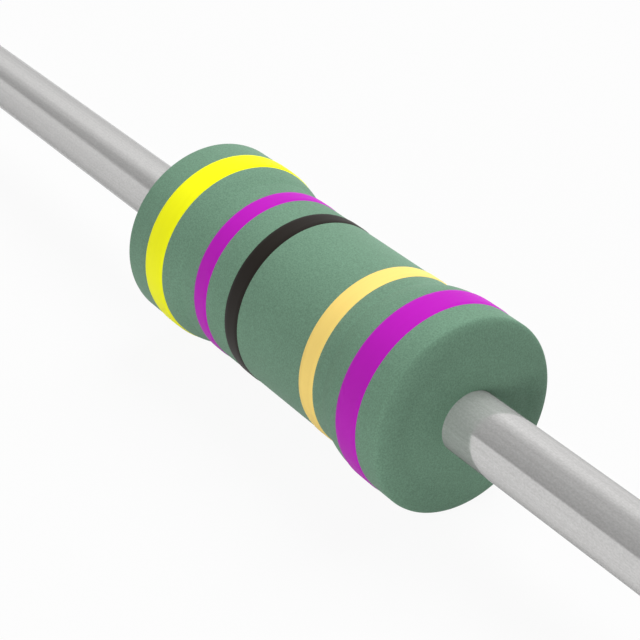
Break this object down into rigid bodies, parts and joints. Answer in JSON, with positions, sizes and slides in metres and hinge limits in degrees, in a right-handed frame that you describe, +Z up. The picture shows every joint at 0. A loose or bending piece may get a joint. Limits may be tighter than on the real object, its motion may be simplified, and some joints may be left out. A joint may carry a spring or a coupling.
{
  "type": "axial resistor",
  "caption": "Small axial resistor: dog-bone lacquered body on a capped ceramic rod, colour bands around it and a straight wire lead from each end.",
  "frame": {"origin": "centre of the body, on the axis of the leads", "axes": "+X along the leads, from the first digit's end to the tolerance band's end; +Z up"},
  "size_m": [0.0616, 0.0016, 0.0016],
  "materials": {
    "ceramic": "ground ceramic, matt",
    "film": "sputtered metal film, satin",
    "plated_steel": "pressed and plated, satin",
    "tinned_copper": "drawn wire, hot tinned, semi-bright",
    "green_lacquer": "baked lacquer, satin",
    "yellow_ink": "printed lacquer, satin",
    "violet_ink": "printed lacquer, satin",
    "black_ink": "printed lacquer, satin",
    "gold_ink": "printed lacquer, satin"
  },
  "bodies": {
    "root": {"ceramic_rod": "ceramic", "resistive_film": "film", "left_end_cap": "plated_steel", "right_end_cap": "plated_steel", "left_lead": "tinned_copper", "right_lead": "tinned_copper", "lacquer_coat": "green_lacquer", "first_digit_band": "yellow_ink", "second_digit_band": "violet_ink", "third_digit_band": "black_ink", "multiplier_band": "gold_ink", "tolerance_band": "violet_ink"}
  },
  "joints": []
}
